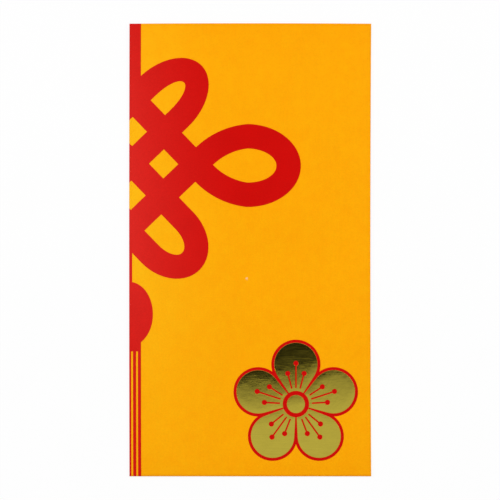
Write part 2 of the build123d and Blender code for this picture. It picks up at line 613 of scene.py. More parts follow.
class NodeBench:
    """Adds nodes to one shader tree and joins them up."""

    noise_middle = (0.3, 0.7)  # range that most values of a noise lie in

    def __init__(self, tree, place):
        self.nodes = tree.nodes
        self.links = tree.links
        self.place = self.nodes.new("ShaderNodeTexCoord").outputs[place]

    def feed(self, socket, value):
        """Links an output to a socket, or sets a constant on it."""
        if isinstance(value, bpy.types.NodeSocket):
            self.links.new(value, socket)
        elif socket.type == "RGBA":
            socket.default_value = (*value, 1.0)
        else:
            socket.default_value = value

    def noise(self, size, stretch=(1.0, 1.0, 1.0), detail=2.0):
        """Noise of one grain size, spread round 0.5."""
        mapping = self.nodes.new("ShaderNodeMapping")
        self.feed(mapping.inputs["Scale"], stretch)
        self.feed(mapping.inputs["Vector"], self.place)
        noise = self.nodes.new("ShaderNodeTexNoise")
        self.feed(noise.inputs["Scale"], 1 / size)
        self.feed(noise.inputs["Detail"], detail)
        self.feed(noise.inputs["Vector"], mapping.outputs["Vector"])
        return noise.outputs["Fac"]

    def spread(self, value, given, wanted, steps="LINEAR"):
        """Maps a given range of a value to a wanted one, held level outside it."""
        node = self.nodes.new("ShaderNodeMapRange")
        node.interpolation_type = steps
        self.feed(node.inputs["Value"], value)
        for label, number in zip(("From Min", "From Max", "To Min", "To Max"), (*given, *wanted)):
            self.feed(node.inputs[label], number)
        return node.outputs["Result"]

    def vary(self, noise, low, high):
        """Spreads the middle range of a noise from low to high."""
        return self.spread(noise, self.noise_middle, (low, high))

    def math(self, operation, first, second=0.0):
        """One sum, product or other function of one or two values."""
        node = self.nodes.new("ShaderNodeMath")
        node.operation = operation
        self.feed(node.inputs[0], first)
        self.feed(node.inputs[1], second)
        return node.outputs[0]

    def product(self, first, *others):
        """Product of two or more values."""
        for other in others:
            first = self.math("MULTIPLY", first, other)
        return first

    def measure(self, operation, point):
        """Distance of the place from a point, or its dot product with it."""
        node = self.nodes.new("ShaderNodeVectorMath")
        node.operation = operation
        self.feed(node.inputs[0], self.place)
        self.feed(node.inputs[1], point)
        return node.outputs["Value"]

    def along(self, axis):
        """How far the place lies along one axis."""
        node = self.nodes.new("ShaderNodeSeparateXYZ")
        self.feed(node.inputs["Vector"], self.place)
        return node.outputs[axis]

    def attribute(self, name):
        """A number that the mesh holds at each point."""
        node = self.nodes.new("ShaderNodeAttribute")
        node.attribute_name = name
        return node.outputs["Fac"]

    def mix(self, share, first, second, blend="MIX"):
        """Mixes two colours."""
        node = self.nodes.new("ShaderNodeMix")
        node.data_type = "RGBA"
        node.blend_type = blend
        self.feed(node.inputs["Factor"], share)
        self.feed(next(i for i in node.inputs if i.identifier == "A_Color"), first)
        self.feed(next(i for i in node.inputs if i.identifier == "B_Color"), second)
        return next(o for o in node.outputs if o.identifier == "Result_Color")

    def tinted(self, colour, tint, share=1.0):
        """A colour multiplied by a tint or a shade."""
        return self.mix(share, colour, tint, "MULTIPLY")


class FinishBench(NodeBench):
    """Bench for one new material."""

    def __init__(self, name):
        self.material = bpy.data.materials.new(name)
        self.material.use_nodes = True
        super().__init__(self.material.node_tree, "Object")
        self.shader = self.nodes["Principled BSDF"]

    def bump(self, height, depth):
        """Relief of the surface."""
        node = self.nodes.new("ShaderNodeBump")
        self.feed(node.inputs["Strength"], 1.0)
        self.feed(node.inputs["Distance"], depth)
        self.feed(node.inputs["Height"], height)
        self.feed(self.shader.inputs["Normal"], node.outputs["Normal"])

    def finish(self, colour, roughness, specular=0.5, metallic=0.0):
        """Sets the surface's colour and gloss, and returns the material."""
        self.feed(self.shader.inputs["Base Color"], colour)
        self.feed(self.shader.inputs["Roughness"], roughness)
        self.feed(self.shader.inputs["Specular IOR Level"], specular)
        self.feed(self.shader.inputs["Metallic"], metallic)
        return self.material


# Finishes of the paper, the print, the foil and the glue

grain_range = (0.25, 0.75)  # range that most values of the sheet's grain lie in


def painted_left_sheen(bench, paper, sheen_fading=1.0):
    """Share of the painted sheen, a lighter colour that stands in for light from the left lamp: full at the
    left fold beside the knot, weaker above it and far below.
    """
    top_level = 0.8
    end_level = 0.2
    height = bench.along("Y")
    slant = bench.product(bench.math("SUBTRACT", height, paper.sheen_low), paper.sheen_slant)
    aside = bench.math("ADD", bench.along("X"), slant)
    aside = bench.spread(aside, (-half_width, paper.sheen_band - half_width), (1.0, 0.0))
    above = bench.spread(height, (paper.sheen_high, half_height), (1.0, top_level), "SMOOTHSTEP")
    below = bench.spread(height, (paper.sheen_end, paper.sheen_low), (end_level, 1.0), "SMOOTHSTEP")
    level = bench.math("POWER", bench.product(above, below), sheen_fading)
    return bench.product(bench.math("POWER", aside, 2.0), level)


def painted_end_shade(bench, paper):
    """Share of the painted crease shade on the flat print, growing towards the top and bottom creases."""
    share_at_crease = 0.2
    height = bench.math("ABSOLUTE", bench.along("Y"))
    return bench.spread(height, (half_height - paper.end_shade_band, half_height), (0.0, share_at_crease))


def printed_red(bench, paper, ornament):
    """Red of the print, lightened beside the left fold by painted sheen."""
    return bench.mix(painted_left_sheen(bench, paper, ornament.sheen_fading), ornament.red, ornament.sheen_red)


def sheet_grain(bench):
    """Grain of the sheet, and the streaks that run up and down it."""
    grain = bench.noise(0.5 * MM, detail=3.0)
    streaks = bench.noise(0.7 * MM, stretch=(1.0, 0.1, 1.0))
    return grain, streaks


def fleck_tone(bench):
    """Tint of small flecks and larger clouds, from a little redder to a little greener."""
    redder = (0.995, 0.955, 0.8)
    greener = (1.005, 1.045, 1.2)
    flecks = bench.math("ADD", bench.noise(0.9 * MM, detail=3.0), bench.noise(3.5 * MM))
    return bench.mix(bench.spread(flecks, (0.7, 1.3), (0.0, 1.0)), redder, greener)


def rubbed_spot(bench, paper):
    """Share of bare paper in one small spot with a ragged edge."""
    gap = bench.measure("DISTANCE", paper.speck_place)
    ragged_gap = bench.product(gap, bench.vary(bench.noise(0.5 * MM), 0.6, 1.5))
    return bench.spread(ragged_gap, (0.25 * MM, 0.55 * MM), (0.35, 0.0))


def golden_paper_material(paper, ornament):
    """Satin printed paper: yellow, with red where the ornament runs round a fold."""
    ink_edge = 0.04 * MM
    bench = FinishBench("golden_paper")
    grain, streaks = sheet_grain(bench)
    shade = bench.product(
        bench.spread(grain, grain_range, (0.965, 1.035)),
        bench.vary(streaks, 0.992, 1.008),
        bench.vary(bench.noise(24 * MM), 0.985, 1.01),
    )
    ink = bench.spread(bench.attribute("ink_depth"), (0.0, ink_edge), (0.0, 1.0))
    # painted sheen: the yellow turns lighter beside the left fold as if lit by the left lamp
    yellow = bench.mix(painted_left_sheen(bench, paper), paper.printed_colour, paper.sheen_printed_colour)
    colour = bench.mix(ink, yellow, printed_red(bench, paper, ornament))
    colour = bench.tinted(colour, shade)
    colour = bench.tinted(colour, fleck_tone(bench))
    # painted shade: the print darkens towards the top and bottom creases and round the folds; the same
    # crease attribute also drives the real rubbed wear below
    crease = bench.attribute("crease_wear_and_shade")
    painted_crease_shade = bench.math("ADD", painted_end_shade(bench, paper), bench.spread(crease, (0.0, 0.8), (0.0, 0.7)))
    colour = bench.tinted(colour, paper.crease_shade_tint, painted_crease_shade)
    rubbing = bench.product(crease, bench.noise(0.6 * MM, detail=4.0))
    colour = bench.mix(bench.spread(rubbing, (0.62, 0.78), (0.0, 0.15)), colour, paper.core_colour)
    colour = bench.mix(rubbed_spot(bench, paper), colour, paper.core_colour)
    bench.bump(bench.math("ADD", grain, streaks), depth=0.006 * MM)
    return bench.finish(colour, roughness=bench.vary(grain, 0.46, 0.58), specular=0.03)


def inside_paper_material(paper):
    """Unprinted side: matt white with short fibres lying every way."""
    bench = FinishBench("inside_paper")
    fibres = bench.noise(0.35 * MM, stretch=(1.0, 0.25, 1.0), detail=4.0)
    crossing = bench.noise(0.35 * MM, stretch=(0.25, 1.0, 1.0), detail=4.0)
    weave = bench.product(fibres, crossing)
    cloud = bench.noise(6 * MM)
    shade = bench.product(bench.spread(weave, (0.1, 0.4), (0.93, 1.03)), bench.vary(cloud, 0.97, 1.01))
    bench.bump(weave, depth=0.02 * MM)
    return bench.finish(bench.tinted(paper.inside_colour, shade), roughness=0.85, specular=0.2)


def cut_edge_material(paper):
    """Cut edge of the sheet: pale core with layers along it."""
    bench = FinishBench("cut_edge")
    layers = bench.noise(0.05 * MM, stretch=(0.05, 0.05, 1.0))
    specks = bench.noise(0.2 * MM, detail=3.0)
    shade = bench.product(bench.vary(layers, 0.9, 1.03), bench.vary(specks, 0.94, 1.02))
    bench.bump(layers, depth=0.01 * MM)
    return bench.finish(bench.tinted(paper.core_colour, shade), roughness=0.9, specular=0.1)


def scarlet_print_material(paper, ornament):
    """Red print with the sheet's grain showing through it."""
    bench = FinishBench("scarlet_print")
    grain, streaks = sheet_grain(bench)
    shade = bench.product(
        bench.spread(grain, grain_range, (0.93, 1.06)),
        bench.vary(bench.noise(9 * MM), 0.97, 1.02),
    )
    colour = bench.tinted(printed_red(bench, paper, ornament), shade)
    # painted shade: the red darkens towards the top and bottom creases
    colour = bench.tinted(colour, paper.crease_shade_tint, painted_end_shade(bench, paper))
    pinholes = bench.spread(bench.noise(0.22 * MM, detail=1.0), (0.76, 0.84), (0.0, 0.25))
    colour = bench.mix(pinholes, colour, paper.printed_colour)
    bench.bump(bench.math("ADD", grain, streaks), depth=0.005 * MM)
    return bench.finish(colour, roughness=bench.vary(grain, 0.4, 0.52), specular=0.03)


def stamped_foil_material(blossom):
    """Hot-stamped gold foil: mirror-like, with fine lines across it and the paper's grain under it."""
    wave_share = 6.0
    smoothest = blossom.foil_roughness - 0.02
    roughest = blossom.foil_roughness + 0.04
    bench = FinishBench("stamped_foil")
    lines = bench.noise(0.35 * MM, stretch=(0.06, 1.0, 1.0), detail=3.0)
    waves = bench.noise(3.5 * MM)
    grain = bench.noise(0.4 * MM)
    shade = bench.product(bench.vary(lines, 0.94, 1.04), bench.vary(waves, 0.97, 1.02))
    fine_relief = bench.math("ADD", lines, grain)
    bench.bump(bench.math("ADD", bench.product(waves, wave_share), fine_relief), depth=0.0015 * MM)
    roughness = bench.vary(lines, smoothest, roughest)
    return bench.finish(bench.tinted(blossom.foil_colour, shade), roughness, metallic=1.0)


def glue_material():
    """Dried paper glue: milky and slightly glossy, thicker in spots."""
    thin = (0.72, 0.68, 0.56)
    thick = (0.87, 0.85, 0.79)
    bench = FinishBench("paper_glue")
    spots = bench.noise(2.5 * MM, detail=3.0)
    colour = bench.mix(bench.spread(spots, (0.35, 0.65), (0.0, 1.0)), thin, thick)
    bench.bump(spots, depth=0.02 * MM)
    return bench.finish(colour, roughness=bench.vary(spots, 0.3, 0.5), specular=0.45)


def shared_material(name, make, *settings):
    """The material of that name, made the first time it is asked for."""
    return bpy.data.materials.get(name) or make(*settings)


def sheet_materials(scene):
    """Printed side, unprinted side and cut edge of the sheet."""
    paper = scene.envelope_paper
    ornament = scene.envelope_ornament
    return (
        shared_material("golden_paper", golden_paper_material, paper, ornament),
        shared_material("inside_paper", inside_paper_material, paper),
        shared_material("cut_edge", cut_edge_material, paper),
    )


# Shape of the sheet at rest


def smooth_step(share):
    """Runs from 0 to 1, level at both ends."""
    share = np.clip(share, 0, 1)
    return share * share * (3 - 2 * share)


def settled(points, paper):
    """Where drawn points come to rest: front bowed, rims pressed, sides bent, folds spread, top crowned."""
    x, y, z = points.T
    across = x / half_width
    along = y / half_height
    lift = np.clip((z - back_level) / (front_level - back_level), 0, 1)
    rim_gap = np.minimum(half_width - np.abs(x), half_height - np.abs(y))
    bow = paper.front_bow * (1 - across**2) * (1 - along**4)
    waves = 1
    for wave_across, wave_along in (first_wave, second_wave):
        waves = waves * np.sin(across * wave_across + along * wave_along)
    ripple = paper.ripple * waves * smooth_step(rim_gap / (2 * paper.rim_width))
    press = paper.rim_press * (1 - smooth_step(rim_gap / paper.rim_width))
    near_left = 1 - smooth_step((x + half_width) / paper.side_band)
    near_right = 1 - smooth_step((half_width - x) / paper.side_band)
    sideways = paper.left_belly * near_left + paper.right_waist * near_right
    past_line = np.clip((np.abs(x) + left_line) / left_radius, 0, 1)
    rest_x = x - sideways * (1 - along**2) + np.sign(x) * paper.fold_spread * past_line
    past_crease = np.clip((y - front_high.y) / (half_height - front_high.y), 0, 1)
    rest_y = y + paper.top_crown * (1 - across**2) * past_crease
    rest_z = z + lift * (bow + ripple - press)
    return np.stack((rest_x, rest_y, rest_z), axis=1)


def mesh_points(mesh):
    """Places of a mesh's points as rows of X, Y and Z."""
    flat = np.empty(len(mesh.vertices) * 3)
    mesh.vertices.foreach_get("co", flat)
    return flat.reshape(-1, 3)


def settle_mesh(mesh, paper):
    """Moves all points of a mesh to where they come to rest."""
    mesh.vertices.foreach_set("co", settled(mesh_points(mesh), paper).ravel())
    mesh.update()


def set_numbers(mesh, name, numbers):
    """Stores one number for each point of a mesh."""
    attribute = mesh.attributes.new(name, "FLOAT", "POINT")
    attribute.data.foreach_set("value", np.asarray(numbers, np.float32))


# Meshes cut from the frame


def cad_copy(node):
    """Merged copy of a CAD node's mesh."""
    bm = bmesh.new()
    bm.from_mesh(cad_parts[node].data)
    bmesh.ops.remove_doubles(bm, verts=bm.verts, dist=merge_gap)
    return bm


def new_mesh(bm, name):
    """Mesh with the contents of a bmesh, which is freed."""
    mesh = bpy.data.meshes.new(name)
    bm.to_mesh(mesh)
    bm.free()
    return mesh


def even_cuts(low, high, cell):
    """Places that divide a stretch into even cells."""
    count = max(1, round((high - low) / cell))
    return [low + (high - low) * step / count for step in range(1, count)]


def bend_cuts(half, cell):
    """Cuts across the whole envelope: even cells, and finer ones beside both edges."""
    beside_edges = [side * (half - gap) for side in (-1, 1) for gap in rim_cuts]
    return even_cuts(-half, half, cell) + beside_edges


def cut_upright(bm, cuts_x, cuts_y):
    """Cuts a mesh along upright planes."""
    for normal, cuts in ((rightwards, cuts_x), (topwards, cuts_y)):
        for place in cuts:
            bmesh.ops.bisect_plane(
                bm,
                geom=bm.verts[:] + bm.edges[:] + bm.faces[:],
                plane_co=normal * place,
                plane_no=normal,
                dist=merge_gap,
            )


def layer_mesh(node, paper):
    """Mesh of a flat CAD layer, cut into cells so that it can bend."""
    bm = cad_copy(node)
    bmesh.ops.dissolve_limit(bm, angle_limit=flat_angle, verts=bm.verts, edges=bm.edges)
    cut_upright(bm, bend_cuts(half_width, paper.cell), bend_cuts(half_height, paper.cell))
    return new_mesh(bm, node + "_layer")


def paint_sheet(mesh, materials, printed_side, fold_sides):
    """Paints a sheet's two sides and its cut edges. An edge that runs into a fold isn't cut."""
    for material in materials:
        mesh.materials.append(material)
    printed, inside, edge = range(len(materials))
    for face in mesh.polygons:
        into_fold = any(face.normal.dot(side) > squarely for side in fold_sides)
        facing = face.normal.dot(printed_side)
        if facing > on_side or into_fold:
            face.material_index = printed
        elif facing < -on_side:
            face.material_index = inside
        else:
            face.material_index = edge


def add_piece(mesh, name, node):
    """Puts a finished mesh in the scene in place of a CAD node."""
    given_normals = mesh.attributes.get("custom_normal")
    if given_normals:
        mesh.attributes.remove(given_normals)
    mesh.shade_smooth()
    mesh.set_sharp_from_angle(angle=sharp_angle)
    piece = bpy.data.objects.new(name, mesh)
    bpy.context.scene.collection.objects.link(piece)
    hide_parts(node)
    return piece


# Geometry Nodes


def new_tree(name, inputs):
    """Empty Geometry Nodes tree with named inputs, and its input and output nodes."""
    tree = bpy.data.node_groups.new(name, "GeometryNodeTree")
    tree.interface.new_socket(name="Geometry", in_out="INPUT", socket_type="NodeSocketGeometry")
    for label, socket_type in inputs:
        tree.interface.new_socket(name=label, in_out="INPUT", socket_type=socket_type)
    tree.interface.new_socket(name="Geometry", in_out="OUTPUT", socket_type="NodeSocketGeometry")
    return tree, tree.nodes.new("NodeGroupInput"), tree.nodes.new("NodeGroupOutput")


def run_tree(tree, mesh, values):
    """Runs a tree on a mesh with its inputs set, and returns the result as a plain mesh."""
    carrier = bpy.data.objects.new(tree.name, mesh)
    bpy.context.scene.collection.objects.link(carrier)
    modifier = carrier.modifiers.new(tree.name, "NODES")
    modifier.node_group = tree
    for socket in tree.interface.items_tree:
        if socket.in_out == "INPUT" and socket.name in values:
            modifier[socket.identifier] = values[socket.name]
    evaluated = carrier.evaluated_get(bpy.context.evaluated_depsgraph_get())
    made = bpy.data.meshes.new_from_object(evaluated)
    carrier.modifiers.remove(modifier)
    bpy.data.objects.remove(carrier)
    return made


def fold_strip_tree():
    """Tree that sweeps half a ring of paper along a straight fold line."""
    tree, given, result = new_tree(
        "Fold strip",
        (
            ("Start", "NodeSocketVector"),
            ("End", "NodeSocketVector"),
            ("Inner radius", "NodeSocketFloat"),
            ("Thickness", "NodeSocketFloat"),
            ("Start angle", "NodeSocketFloat"),
            ("Points along", "NodeSocketInt"),
            ("Points round", "NodeSocketInt"),
            ("Printed", "NodeSocketMaterial"),
            ("Inside", "NodeSocketMaterial"),
            ("Edge", "NodeSocketMaterial"),
        ),
    )
    nodes = tree.nodes
    join = tree.links.new

    line = nodes.new("GeometryNodeCurvePrimitiveLine")
    join(given.outputs["Start"], line.inputs["Start"])
    join(given.outputs["End"], line.inputs["End"])
    path = nodes.new("GeometryNodeResampleCurve")
    join(line.outputs["Curve"], path.inputs["Curve"])
    join(given.outputs["Points along"], path.inputs["Count"])

    half_ring = nodes.new("GeometryNodeCurveArc")
    half_ring.inputs["Sweep Angle"].default_value = pi
    join(given.outputs["Points round"], half_ring.inputs["Resolution"])
    join(given.outputs["Inner radius"], half_ring.inputs["Radius"])
    join(given.outputs["Start angle"], half_ring.inputs["Start Angle"])

    inner_side = nodes.new("GeometryNodeCurveToMesh")
    join(path.outputs["Curve"], inner_side.inputs["Curve"])
    join(half_ring.outputs["Curve"], inner_side.inputs["Profile Curve"])
    outer_side = nodes.new("GeometryNodeExtrudeMesh")
    outer_side.inputs["Individual"].default_value = False
    join(inner_side.outputs["Mesh"], outer_side.inputs["Mesh"])
    join(given.outputs["Thickness"], outer_side.inputs["Offset Scale"])
    turned = nodes.new("GeometryNodeFlipFaces")
    join(inner_side.outputs["Mesh"], turned.inputs["Mesh"])

    both = nodes.new("GeometryNodeJoinGeometry")
    join(outer_side.outputs["Mesh"], both.inputs["Geometry"])
    join(turned.outputs["Mesh"], both.inputs["Geometry"])
    closed = nodes.new("GeometryNodeMergeByDistance")
    closed.inputs["Distance"].default_value = merge_gap
    join(both.outputs["Geometry"], closed.inputs["Geometry"])
    realized = nodes.new("GeometryNodeRealizeInstances")
    join(closed.outputs["Geometry"], realized.inputs["Geometry"])

    last = realized.outputs["Geometry"]
    for label, faces in (("Inside", None), ("Printed", "Top"), ("Edge", "Side")):
        paint = nodes.new("GeometryNodeSetMaterial")
        join(last, paint.inputs["Geometry"])
        join(given.outputs[label], paint.inputs["Material"])
        if faces:
            join(outer_side.outputs[faces], paint.inputs["Selection"])
        last = paint.outputs["Geometry"]
    join(last, result.inputs["Geometry"])
    return tree


def petal_ring_tree():
    """Tree that repeats one petal evenly round the blossom's middle."""
    tree, given, result = new_tree(
        "Petal ring",
        (
            ("Middle", "NodeSocketVector"),
            ("Petals", "NodeSocketInt"),
            ("Foil", "NodeSocketMaterial"),
        ),
    )
    nodes = tree.nodes
    join = tree.links.new

    back = nodes.new("ShaderNodeVectorMath")
    back.operation = "SCALE"
    back.inputs["Scale"].default_value = -1.0
    join(given.outputs["Middle"], back.inputs[0])
    petal = nodes.new("GeometryNodeTransform")
    join(given.outputs["Geometry"], petal.inputs["Geometry"])
    join(back.outputs["Vector"], petal.inputs["Translation"])

    places = nodes.new("GeometryNodePoints")
    join(given.outputs["Petals"], places.inputs["Count"])
    join(given.outputs["Middle"], places.inputs["Position"])
    step = nodes.new("ShaderNodeMath")
    step.operation = "DIVIDE"
    step.inputs[0].default_value = 2 * pi
    join(given.outputs["Petals"], step.inputs[1])
    turn = nodes.new("ShaderNodeMath")
    turn.operation = "MULTIPLY"
    join(nodes.new("GeometryNodeInputIndex").outputs["Index"], turn.inputs[0])
    join(step.outputs[0], turn.inputs[1])
    upright = nodes.new("ShaderNodeCombineXYZ")
    join(turn.outputs[0], upright.inputs["Z"])
    rotation = nodes.new("FunctionNodeEulerToRotation")
    join(upright.outputs["Vector"], rotation.inputs["Euler"])

    ring = nodes.new("GeometryNodeInstanceOnPoints")
    join(places.outputs["Points"], ring.inputs["Points"])
    join(petal.outputs["Geometry"], ring.inputs["Instance"])
    join(rotation.outputs["Rotation"], ring.inputs["Rotation"])
    realized = nodes.new("GeometryNodeRealizeInstances")
    join(ring.outputs["Instances"], realized.inputs["Geometry"])
    paint = nodes.new("GeometryNodeSetMaterial")
    join(realized.outputs["Geometry"], paint.inputs["Geometry"])
    join(given.outputs["Foil"], paint.inputs["Material"])
    join(paint.outputs["Geometry"], result.inputs["Geometry"])
    return tree


# Ornament where it runs round the folds


def shared_depth(*depths):
    """Depth inside what several shapes have in common."""
    return np.minimum.reduce(depths)


def joined_depth(*depths):
    """Depth inside several shapes joined up."""
    return np.maximum.reduce(depths)


def box_depth(x, y, half_x, half_y):
    """Depth inside an upright rectangle round the origin, below zero outside it."""
    return shared_depth(half_x - np.abs(x), half_y - np.abs(y))


def knot_depth(aside, rise, ornament):
    """Depth inside the knot near its upright axis: the lattice with its openings, and the lower ears."""
    x = aside * cos(ornament.knot_tilt) - rise * sin(ornament.knot_tilt)
    y = aside * sin(ornament.knot_tilt) + rise * cos(ornament.knot_tilt)
    half_band = ornament.band / 2
    half_pitch = ornament.band_pitch / 2
    lattice_half = ornament.band_pitch + half_band
    opening_half = (ornament.band_pitch - ornament.band) / 2
    first = (x + y) / sqrt(2)
    second = (y - x) / sqrt(2)
    square = box_depth(first, second, lattice_half, lattice_half)
    opening = box_depth(np.abs(first) - half_pitch, np.abs(second) - half_pitch, opening_half, opening_half)
    ear_half = ornament.ear_half_width + ornament.band
    ear_aside = (np.abs(x) + y) / sqrt(2) + half_pitch + ornament.ear_shift
    ear_along = (np.abs(x) - y) / sqrt(2) - lattice_half - half_band
    ear = box_depth(ear_along, ear_aside, half_band, ear_half)
    return joined_depth(shared_depth(square, -opening), ear)


def ornament_depth(from_axis, y, ornament):
    """Depth inside the printed ornament near its upright axis, below zero outside it."""
    aside = np.abs(from_axis)
    rise = y - ornament.knot_height
    knot = knot_depth(from_axis - ornament.knot_offset, rise, ornament)
    crossing = ornament.band_pitch * sqrt(2)
    cord = shared_depth(ornament.cord_half_width - aside, rise - crossing)
    over_bead = y - ornament.bead_height
    thin_cord = shared_depth(ornament.thin_cord_half_width - aside, -crossing - rise, over_bead)
    bead_gap = np.hypot(from_axis / ornament.bead_half_width, over_bead / ornament.bead_half_height)
    bead = (1 - bead_gap) * ornament.bead_half_width
    tassel_half = (ornament.tassel_pitch * (ornament.tassel_strips - 1) + ornament.tassel_strip) / 2
    tassel = tassel_half - aside
    head = shared_depth(tassel, -over_bead, y - ornament.tassel_height)
    nearest_strip = ornament.tassel_pitch * np.round(from_axis / ornament.tassel_pitch)
    strip = ornament.tassel_strip / 2 - np.abs(from_axis - nearest_strip)
    strips = shared_depth(strip, tassel, ornament.tassel_height - y)
    return joined_depth(knot, cord, thin_cord, bead, head, strips)


# Folds along the four edges


class Fold:
    """One fold: its box in the frame, the axis that it bends about and its radius."""

    def __init__(self, node, upright):
        self.node = node
        self.upright = upright
        self.low, self.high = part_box(node)
        self.across = 0 if upright else 1  # axis that runs outwards, over the envelope's edge
        self.direction = topwards if upright else rightwards
        self.side = 1 if self.low[self.across] > 0 else -1  # 1 at the right and at the top
        self.level = (self.low.z + self.high.z) / 2
        self.radius = (self.high.z - self.low.z) / 2
        inner_corner = self.low if self.side > 0 else self.high
        self.middle = Vector((inner_corner.x, inner_corner.y, self.level))

    def axis_point(self, corner):
        """Point of the axis abreast of a corner of the box."""
        if self.upright:
            return (self.middle.x, corner.y, self.middle.z)
        return (corner.x, self.middle.y, self.middle.z)

    def outwards(self, points):
        """How far points lie from the axis towards the envelope's edge."""
        return np.abs(points[:, self.across] - self.middle[self.across])


def swept_fold(fold, tree, materials):
    """Half ring of paper swept along a fold's axis, open towards the envelope's middle."""
    printed, inside, edge = materials
    sense = -fold.side if fold.upright else fold.side  # which way round the half ring starts
    length = max(high - low for low, high in zip(fold.low, fold.high))
    mesh = run_tree(
        tree,
        bpy.data.meshes.new(fold.node + "_carrier"),
        {
            "Start": fold.axis_point(fold.low),
            "End": fold.axis_point(fold.high),
            "Inner radius": fold.radius - paper_thickness,
            "Thickness": paper_thickness,
            "Start angle": sense * pi / 2,
            "Points along": int(length / fold_step),
            "Points round": points_round_fold,
            "Printed": printed,
            "Inside": inside,
            "Edge": edge,
        },
    )
    mesh.materials.pop(index=0)  # the sweep's empty first slot
    return mesh


def paint_joined_sides(mesh, fold, materials):
    """Paints the long sides of a fold strip as printed, because the sheet runs on there and isn't cut."""
    printed, _, edge = materials
    slots = list(mesh.materials)
    for face in mesh.polygons:
        if slots[face.material_index] == edge and abs(face.normal.dot(fold.direction)) < on_side:
            face.material_index = slots.index(printed)


def squared_corners(points, fold, paper):
    """Fold points drawn out at the front so that the folds meet in square corners, slanting back behind."""
    x, y, z = points.T
    forward = np.clip((z - fold.low.z) / fold.radius, 0, 1)
    if fold.upright:
        reach = forward * (front_high.y / fold.high.y - 1)
        return np.stack((x, y * (1 + reach * (y > 0)), z), axis=1)
    drawn_x = x * (1 + forward * (half_width / fold.high.x - 1))
    corner = np.clip((np.abs(drawn_x) + left_line) / left_radius, 0, 1)
    rise = np.clip(z - fold.level, 0, None)
    return np.stack((drawn_x, y, z - paper.corner_pinch * corner**2 * rise), axis=1)


def print_on_fold(points, fold, ornament):
    """Depth inside the ornament for points on a fold. The right fold has no print."""
    if fold.upright and fold.side > 0:
        return np.full(len(points), no_print)
    x, y, z = points.T
    turned = np.arctan2(fold.outwards(points), z - fold.middle.z)
    if fold.upright:
        return ornament_depth(ornament.axis_past_fold - turned * left_radius, y, ornament)
    from_axis = x - (left_line - ornament.axis_past_fold)
    return np.where(turned < ornament.bleed * pi, ornament_depth(from_axis, y, ornament), no_print)


def crease_wear_and_shade(points, fold, paper):
    """Wear and painted shade of points on a fold, growing outwards."""
    wear = paper.side_wear_and_shade if fold.upright else 1.0
    return wear * fold.outwards(points) / fold.radius


# Foil blossom


def foil_islands():
    """The separate pieces of the CAD foil, each as its own mesh."""
    bm = cad_copy("emblem_foil")
    unvisited = set(bm.faces)
    islands = []
    while unvisited:
        reached = {unvisited.pop()}
        border = list(reached)
        while border:
            face = border.pop()
            beside = {other for edge in face.edges for other in edge.link_faces} - reached
            reached |= beside
            border += beside
        unvisited -= reached
        island = bm.copy()
        island.faces.ensure_lookup_table()
        kept = {face.index for face in reached}
        others = [face for face in island.faces if face.index not in kept]
        bmesh.ops.delete(island, geom=others, context="FACES")
        islands.append(island)
    bm.free()
    return islands


def corner_places(bm):
    """Places of a bmesh's points as rows of X, Y and Z."""
    return np.array([v.co for v in bm.verts])


def island_width(island):
    """Width of a piece of foil from left to right."""
    return np.ptp(corner_places(island)[:, 0])


def island_top(island):
    """Height of a piece of foil's upper end over the middle of the envelope."""
    return corner_places(island)[:, 1].max()


def island_middle(island):
    """Middle of a piece of foil, at its lower side."""
    places = corner_places(island)
    middle = (places.min(axis=0) + places.max(axis=0)) / 2
    return (middle[0], middle[1], places[:, 2].min())


def boundary_loops(faces):
    """Corner points of the loops round a group of faces, the longest loop first."""
    group = set(faces)
    edges = {edge for face in faces for edge in face.edges if len(group & set(edge.link_faces)) == 1}
    loops = []
    while edges:
        edge = edges.pop()
        first, corner = edge.verts
        loop = [first.co.copy(), corner.co.copy()]
        while corner is not first:
            edge = next(e for e in corner.link_edges if e in edges)
            edges.remove(edge)
            corner = edge.other_vert(corner)
            loop.append(corner.co.copy())
        loops.append(np.array(loop)[:, :2])
    return sorted(loops, key=lambda loop: -np.hypot(*np.diff(loop, axis=0).T).sum())


def loop_distance(points, loop):
    """Distance of flat points from a closed loop of straight pieces."""
    start = loop[:-1]
    along = np.diff(loop, axis=0)
    offset = points[:, None, :] - start[None]
    share = np.clip((offset * along).sum(-1) / (along**2).sum(-1), 0, 1)
    gap = offset - share[..., None] * along
    return np.hypot(gap[..., 0], gap[..., 1]).min(axis=1)


def embossed_mesh(island, name, blossom):
    """Mesh of one piece of foil with a sloped rim round all its edges and a crowned middle."""
    top_level = corner_places(island)[:, 2].max()
    top_faces = [face for face in island.faces if face.normal.dot(upwards) > on_side]
    loops = boundary_loops(top_faces)
    bmesh.ops.inset_region(
        island, faces=top_faces, thickness=blossom.rim, use_boundary=True, use_even_offset=True
    )
    low = corner_places(island).min(axis=0)
    high = corner_places(island).max(axis=0)
    cut_upright(island, even_cuts(low[0], high[0], blossom.cell), even_cuts(low[1], high[1], blossom.cell))
    upper = [v for v in island.verts if v.co.z > top_level - merge_gap]
    places = np.array([v.co for v in upper])[:, :2]
    outline_gap = loop_distance(places, loops[0])
    edge_gap = np.min([loop_distance(places, loop) for loop in loops], axis=0)
    rim = blossom.rim_rise * np.clip(edge_gap / blossom.rim, 0, 1)
    climb = 1 - np.clip(outline_gap / blossom.crown_width, 0, 1)
    crown = blossom.crown * (1 - climb**2)
    for vertex, rise in zip(upper, rim + crown):
        vertex.co.z += rise
    return new_mesh(island, name)


# Floor, light and camera


